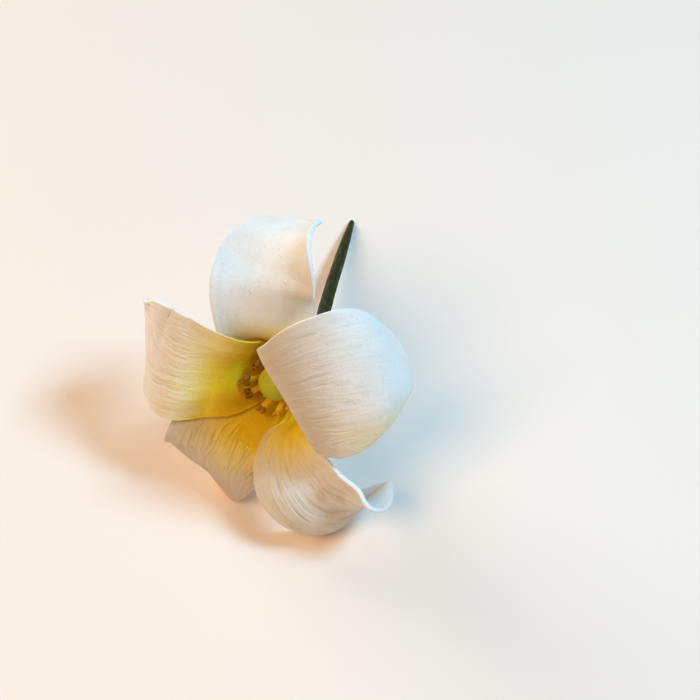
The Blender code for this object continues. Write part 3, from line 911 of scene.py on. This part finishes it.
def elliptic_rings(path, along, flat, wide, deep, sides):
    """Ellipses round paths: path + flat * wide/2 * cos a + (along x flat) * deep/2 * sin a."""
    thick = np.cross(along, flat)
    angle = circle(sides)
    cos, sin = np.cos(angle)[:, None], np.sin(angle)[:, None]
    rings = flat[..., None, :] * (wide[..., None, None] / 2) * cos
    return path[..., None, :] + rings + thick[..., None, :] * (deep[..., None, None] / 2) * sin


path, along = strap_paths()
share = np.linspace(0, 1, STRAP_ROWS)[None] + np.zeros((STAMENS, 1))
twist = chance.uniform(-0.25, 0.25, STAMENS)[:, None, None]
flat = unit(sideways[:, None] + 0 * along + twist * outward[:, None])
wide = STRAP_WIDTH * (0.72 + 0.28 * ease(share, 0.3, 0.8))
wide = wide * np.sin(np.pi / 2 * ease(1 - share, -0.4, 0.12))
deep = STRAP_DEPTH * (1 - 0.3 * share)
straps = elliptic_rings(path, along, flat, wide, deep, STRAP_SIDES)
strap_poles = np.stack([path[:, 0] - along[:, 0] * 0.05 * MM, path[:, -1] + along[:, -1] * 0.1 * MM], 1)


def strap_material():
    """Dyed paper: orange yellow, deeper toward the foot, streaked lengthwise, matte."""
    material, shade = new_material("stamen_strap")
    fleck = shade.noise(1600.0, 3.0)
    share = shade.attribute("share") + (fleck - 0.5) * 0.3
    colour = share.ease(0.15, 0.7).blend(STRAP_FOOT, STRAP_DYE)
    return finished(material, {
        "Base Color": share.ease(0.85, 1.05).blend(colour, STRAP_TIP),
        "Roughness": 0.6 - fleck * 0.1,
        "Normal": shade.bump(fleck, 0.5, 0.1 * MM),
    })


strap_share = np.concatenate([np.repeat(share, STRAP_SIDES, axis=1), np.tile([0.0, 1.0], (STAMENS, 1))], 1)
new_piece(
    "stamen_straps", ["stamens"],
    lay_down(tube_points(straps, strap_poles)), tube_faces(STRAP_ROWS, STRAP_SIDES, STAMENS),
    strap_material(), {"share": strap_share},
)

# %% [markdown]
# ## The stamens' anthers and collar
# Each filament ends in a pair of brown lobes, crumbly as if dipped in coloured crumbs, and a few
# caught more golden dye. A lobe is a ball stretched along the filament and pushed in and out by
# noise. The material takes its browns from the same noise: the pits get painted shade and the lumps
# a painted tan highlight. The collar is a plain ring that holds the filaments' feet.

# %% Stamens: collar and anthers
LOBE = np.array([0.85, 0.75, 1.05]) * MM
LOBE_SPREAD = 0.6 * MM
LOBE_ROWS = 18
LOBE_SIDES = 20
LOBE_POLE = 0.85
GOLDEN_TOWARD = 295.0
COLLAR_SIDES = 16
COLLAR_COLUMNS = 64
# Painted shade for the pits and a painted highlight for the lumps, with the crumbs' brown between.
PIT_PAINTED_SHADE = (0.07, 0.022, 0.002)
CRUMB_BROWN = (0.30, 0.12, 0.008)
CRUMB_PAINTED_HIGHLIGHT = (0.48, 0.25, 0.03)
CRUMB_GOLD = (0.84, 0.42, 0.006)
COLLAR_DYE = (0.50, 0.24, 0.006)
COLLAR_DARK = (0.30, 0.12, 0.004)


def lobe_rings(centres, axes):
    """Balls stretched along three axes, with their rows from pole to pole, pushed in and out by noise."""
    polar = np.linspace(0, np.pi, LOBE_ROWS + 2)[1:-1, None]
    angle = circle(LOBE_SIDES)
    ball = about_axis(np.sin(polar), angle, -np.cos(polar))
    copies = np.arange(len(centres))[:, None, None]
    around = 2.2 * np.cos(angle)[None, None] + 1.3 * np.sin(angle)[None, None]
    crumb = smooth_noise(around + 20 + copies * 3.7, polar * 2.6 + copies * 1.3 + 0 * around, 5)
    fine = smooth_noise(around * 2.4 + 30 + copies, polar * 6 + copies + 0 * around, 6)
    swell = 0.72 + 0.34 * crumb + 0.22 * fine
    rings = centres[:, None, None] + np.einsum("rsk,nkc->nrsc", ball, axes) * swell[..., None]
    poles = centres[:, None] + np.stack([-axes[:, 2], axes[:, 2]], 1) * LOBE_POLE
    return rings, poles, np.clip(crumb * 0.6 + fine * 0.4, 0, 1)


def anther_material():
    """Crumbs: brown, with painted shade in the pits and a painted tan highlight on the lumps; dusty, matte.
    """
    material, shade = new_material("anther_crumbs")
    dust = shade.noise(2600.0, 3.0)
    lump = shade.attribute("lump") + (dust - 0.5) * 0.8
    # Painted shade in the pits, a painted tan highlight on the lumps.
    colour = lump.ease(0.15, 0.55).blend(PIT_PAINTED_SHADE, CRUMB_BROWN)
    colour = lump.ease(0.6, 1.0).blend(colour, CRUMB_PAINTED_HIGHLIGHT)
    return finished(material, {
        "Base Color": (shade.attribute("golden") * 0.8).blend(colour, CRUMB_GOLD),
        "Roughness": 0.85 - dust * 0.1,
        "Specular IOR Level": 0.2,
        "Normal": shade.bump(dust, 0.8, 0.2 * MM),
    })


ends = reach[:, None] * outward + height[:, None] * UP
centres = np.concatenate([ends - LOBE_SPREAD * sideways, ends + LOBE_SPREAD * sideways])
upward = along[:, -1]
lobe_out = unit(np.cross(sideways, upward))
axes = np.stack([lobe_out * LOBE[0], sideways * LOBE[1], upward * LOBE[2]], 1)
axes = np.concatenate([axes, axes])
golden = ease(np.cos(azimuth - math.radians(GOLDEN_TOWARD)), 0.45, 0.8)
golden = np.concatenate([golden, golden])
axes = axes * (chance.uniform(0.75, 1.05, len(axes)) - 0.25 * golden)[:, None, None]
lobes, lobe_poles, lump = lobe_rings(centres, axes)
lobe_lump = np.concatenate([lump.reshape(len(lobes), -1), np.full((len(lobes), 2), 0.5)], 1)
new_piece(
    "stamen_anthers", ["stamens"],
    lay_down(tube_points(lobes, lobe_poles)), tube_faces(LOBE_ROWS, LOBE_SIDES, len(lobes)),
    anther_material(), {"lump": lobe_lump, "golden": np.repeat(golden, lobe_lump.shape[1])},
)

section = circle(COLLAR_SIDES)[:, None]
collar_radius = COLLAR_RADIUS + COLLAR_THICKNESS / 2 * np.cos(section)
collar_height = COLLAR_HEIGHT + COLLAR_THICKNESS / 2 * np.sin(section)
collar = about_axis(collar_radius, circle(COLLAR_COLUMNS), collar_height)
new_piece(
    "stamen_collar", ["stamens"], lay_down(collar.reshape(-1, 3)),
    [torus_faces(COLLAR_SIDES, COLLAR_COLUMNS)[2]],
    plain_foam_material("collar_dye", COLLAR_DYE, COLLAR_DARK), {},
)

# %% [markdown]
# ## The calyx
# Behind the petals' feet sits a green cup with five small pointed lobes. It hides the glue, and from
# the front the petals hide nearly all of it. The cup is a closed section carried round the axis: out
# along one face of the wall, over the rim and back along the other. The rim is high at a lobe and
# low between two. A superellipse again gives the wall its soft square edges.

# %% Calyx
CALYX_WALL = 1.0 * MM
CALYX_LOBES = 5
CALYX_LOBE_AZIMUTH = math.radians(50.0)
CALYX_VALLEY = 0.62
CALYX_LOBE_POWER = 1.5
CALYX_EDGE_POWER = 0.3
CALYX_FIBRES = 0.10 * MM
CALYX_PROFILE = np.array([
    (2.8, -21.6), (5.6, -20.9), (7.6, -18.8), (8.5, -16.0), (9.7, -13.0), (10.6, -11.0), (11.6, -9.0),
]) * MM
CALYX_ROWS = 72
CALYX_COLUMNS = 240
CALYX_DARK = (0.045, 0.075, 0.015)
CALYX_LIGHT = (0.14, 0.19, 0.05)
FIBRE_STRETCH = 0.25


def calyx_grid():
    """Points of the cup: profile at a share of its height, moved out or in by half the wall."""
    loop = circle(CALYX_ROWS)[:, None]
    azimuth = circle(CALYX_COLUMNS)[None]
    share = 0.5 - 0.5 * np.cos(loop)
    offset = np.sign(np.sin(loop)) * np.abs(np.sin(loop)) ** CALYX_EDGE_POWER * CALYX_WALL / 2
    lobe = 0.5 + 0.5 * np.cos(CALYX_LOBES * (azimuth - CALYX_LOBE_AZIMUTH))
    top = CALYX_VALLEY + (1 - CALYX_VALLEY) * lobe**CALYX_LOBE_POWER
    t = share * top * (len(CALYX_PROFILE) - 1)
    place = smooth_through(CALYX_PROFILE, t)
    slope = unit(smooth_through(CALYX_PROFILE, t + 0.01) - smooth_through(CALYX_PROFILE, t - 0.01))
    fibres = smooth_noise(azimuth * 18 + 0 * share, share * 3 + 0 * azimuth, 8) - 0.5
    offset = offset + CALYX_FIBRES * fibres * np.sign(offset)
    radius = place[..., 0] + slope[..., 1] * offset
    height = place[..., 1] - slope[..., 0] * offset
    return about_axis(radius, azimuth, height), share + 0 * azimuth


def green_material(name, dark, light, scale):
    """Taped green: dark, with paler flecks that run lengthwise, and a waxy, slightly rough skin."""
    material, shade = new_material(name)
    fibres = shade.streaks(scale, 4.0, 0.65, FIBRE_STRETCH)
    blotches = shade.noise(420.0, 3.0)
    mix = fibres.ease(0.42, 0.75) * 0.6 + blotches.ease(0.5, 0.75) * 0.5
    return finished(material, {
        "Base Color": mix.blend(dark, light),
        "Roughness": 0.7 - fibres * 0.15,
        "Specular IOR Level": 0.25,
        "Normal": shade.bump(fibres + blotches * 0.6, 0.6, 0.2 * MM),
    })


calyx, calyx_share = calyx_grid()
calyx_across = np.arange(CALYX_COLUMNS)[None] / CALYX_COLUMNS * 50 + 0 * calyx_share
new_piece(
    "calyx_cup", ["calyx"], lay_down(calyx.reshape(-1, 3)),
    [torus_faces(CALYX_ROWS, CALYX_COLUMNS)[2]],
    green_material("calyx_green", CALYX_DARK, CALYX_LIGHT, 1.2),
    {"along": calyx_share * 16, "across": calyx_across},
)

# %% [markdown]
# ## The stem
# The stem is wire wrapped in green tape. It leaves the plug along the flower's axis, bends down to
# the floor and tapers to a small blunt tip. The tape's winding shows as a faint spiral step. The
# path is a smooth curve through four points, and round rings are carried along it, with the
# winding and a few lumps added to their radius.

# %% Stem
STEM_TOP = CORE_BOTTOM - GAP
STEM_STRAIGHT = -26.0 * MM
STEM_TIP = np.array([18.9, 76.8, 0.72]) * MM
STEM_ARCH = 1.5 * MM
STEM_STOPS = [0.0, 2.0, 2.45, 2.75, 2.965, 2.985, 3.0]
STEM_RADII = [1.80, 1.65, 1.50, 1.20, 0.75, 0.70, 0.65]
STEM_ROWS = 260
STEM_SIDES = 40
TAPE_PITCH = 5.5 * MM
TAPE_STEP = 0.035
STEM_LUMPS = 0.05
STEM_END = 0.7 * MM
STEM_DARK = (0.020, 0.018, 0.001)
STEM_LIGHT = (0.10, 0.085, 0.012)


def stem_path(t):
    """The stem's line: along the axis out of the plug, then arched over to the tip."""
    under_throat = np.array([THROAT[0], THROAT[1], 0.0])
    start, straight = lay_down(np.array([[0, 0, STEM_TOP], [0, 0, STEM_STRAIGHT]]))
    tip = under_throat + STEM_TIP
    middle = straight + 0.45 * (tip - straight) + np.array([0, 0, STEM_ARCH])
    return smooth_through([start, straight, middle, tip], t)


t = np.linspace(0, 3, CURVE_STEPS)
line = stem_path(t)
run = np.concatenate([[0.0], np.cumsum(np.linalg.norm(np.diff(line, axis=0), axis=1))])
even = np.interp(np.linspace(0, run[-1], STEM_ROWS), run, t)
path = stem_path(even)
distance = np.interp(even, t, run)
radius = np.interp(even, STEM_STOPS, STEM_RADII) * MM
along = unit(np.gradient(path, axis=0))
side = unit(np.cross(along, UP))
above = np.cross(along, side)
angle = circle(STEM_SIDES)
winding = (distance[:, None] / TAPE_PITCH - angle[None] / (2 * np.pi)) % 1.0
step = ease(winding, 0.0, 0.12) * (1 - winding)
lump = smooth_noise(distance[:, None] / (4 * MM) + 0 * angle[None], np.cos(angle)[None] * 1.5 + 8, 4) - 0.5
end = np.minimum(distance, run[-1] - distance)
cap = np.sqrt(1 - (1 - np.clip(end / STEM_END, 0, 1)) ** 2)
ring = radius[:, None] * (1 - TAPE_STEP * (1 - step) + STEM_LUMPS * lump) * np.maximum(cap, 0.05)[:, None]
aside, upward = (ring * np.cos(angle))[..., None], (ring * np.sin(angle))[..., None]
rings = path[:, None] + side[:, None] * aside + above[:, None] * upward
stem_along = np.concatenate([np.repeat(distance / MM, STEM_SIDES), [0.0, run[-1] / MM]])
stem_across = np.concatenate([np.tile(angle * STEM_RADII[0], STEM_ROWS), [0.0, 0.0]])
new_piece(
    "taped_stem", ["stem"],
    tube_points(rings[None], path[None, [0, -1]]), tube_faces(STEM_ROWS, STEM_SIDES),
    green_material("stem_tape", STEM_DARK, STEM_LIGHT, 1.1),
    {"along": stem_along, "across": stem_across},
)
print("stem length, mm:", round(run[-1] / MM, 1))

# %% [markdown]
# ## Floor and light
# The floor is one plain pale sheet. The key light is cool and stands high on the right, so the petals
# and cut edges that face it turn bluish white. A pale cool light stands low at the back left, a warm
# one high at the front left keeps the shadows peach, and the world adds a faint warm white. The
# lights are far off and soft, so that the floor is lit evenly.

# %% Floor, lights and world
FLOOR_SIZE = 2.4
FLOOR_COLOUR = (0.95, 0.74, 0.58, 1.0)
WORLD_COLOUR = (1.0, 0.94, 0.88, 1.0)
WORLD_STRENGTH = 0.12
KEY_COLOUR = (0.27, 0.62, 1.0)
BACK_COLOUR = (0.81, 0.91, 1.0)
FILL_COLOUR = (1.0, 0.75, 0.47)


def area_light(name, place, size, power, colour):
    """A square area light that faces the flower's throat."""
    light = bpy.data.lights.new(name, "AREA")
    light.size = size
    light.energy = power
    light.color = colour
    lamp = new_object(name, light)
    lamp.location = Vector(THROAT) + Vector(place)
    lamp.rotation_euler = (-Vector(place)).to_track_quat("-Z", "Y").to_euler()
    print(name, "light:", power, "W,", size, "m wide, from", round(Vector(place).length, 2), "m away")


floor_mesh = bpy.data.meshes.new("floor")
half = FLOOR_SIZE / 2
corners = [(-half, -half, 0), (half, -half, 0), (half, half, 0), (-half, half, 0)]
floor_mesh.from_pydata(corners, [], [(0, 1, 2, 3)])
floor = new_object("floor", floor_mesh)
floor_material, _ = new_material("floor_pale")
floor_mesh.materials.append(finished(floor_material, {"Base Color": FLOOR_COLOUR, "Roughness": 0.7}))
floor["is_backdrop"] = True

area_light("key", (0.61, 0.0, 0.77), 0.24, 10.8, KEY_COLOUR)
area_light("back", (-0.66, 0.66, 0.37), 0.48, 5.9, BACK_COLOUR)
area_light("fill", (-0.43, -0.43, 0.78), 0.50, 6.1, FILL_COLOUR)
world = bpy.data.worlds.new("studio")
bpy.context.scene.world = world
world.use_nodes = True
world.node_tree.nodes["Background"].inputs["Color"].default_value = WORLD_COLOUR
world.node_tree.nodes["Background"].inputs["Strength"].default_value = WORLD_STRENGTH
bpy.context.scene.view_settings.view_transform = "Standard"

# %% [markdown]
# ## Sizes, and the end
# The imported model's box and the dressed flower's box are both printed at the end. The dressed
# flower has to keep the imported model's size.

# %% Print the sizes
low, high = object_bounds()
sizes = {"cad": [list(cad_low), list(cad_high)], "visual": [list(low), list(high)]}
for label, (a, b) in sizes.items():
    print(label, "box, mm:", [round((y - x) / MM, 1) for x, y in zip(a, b)])
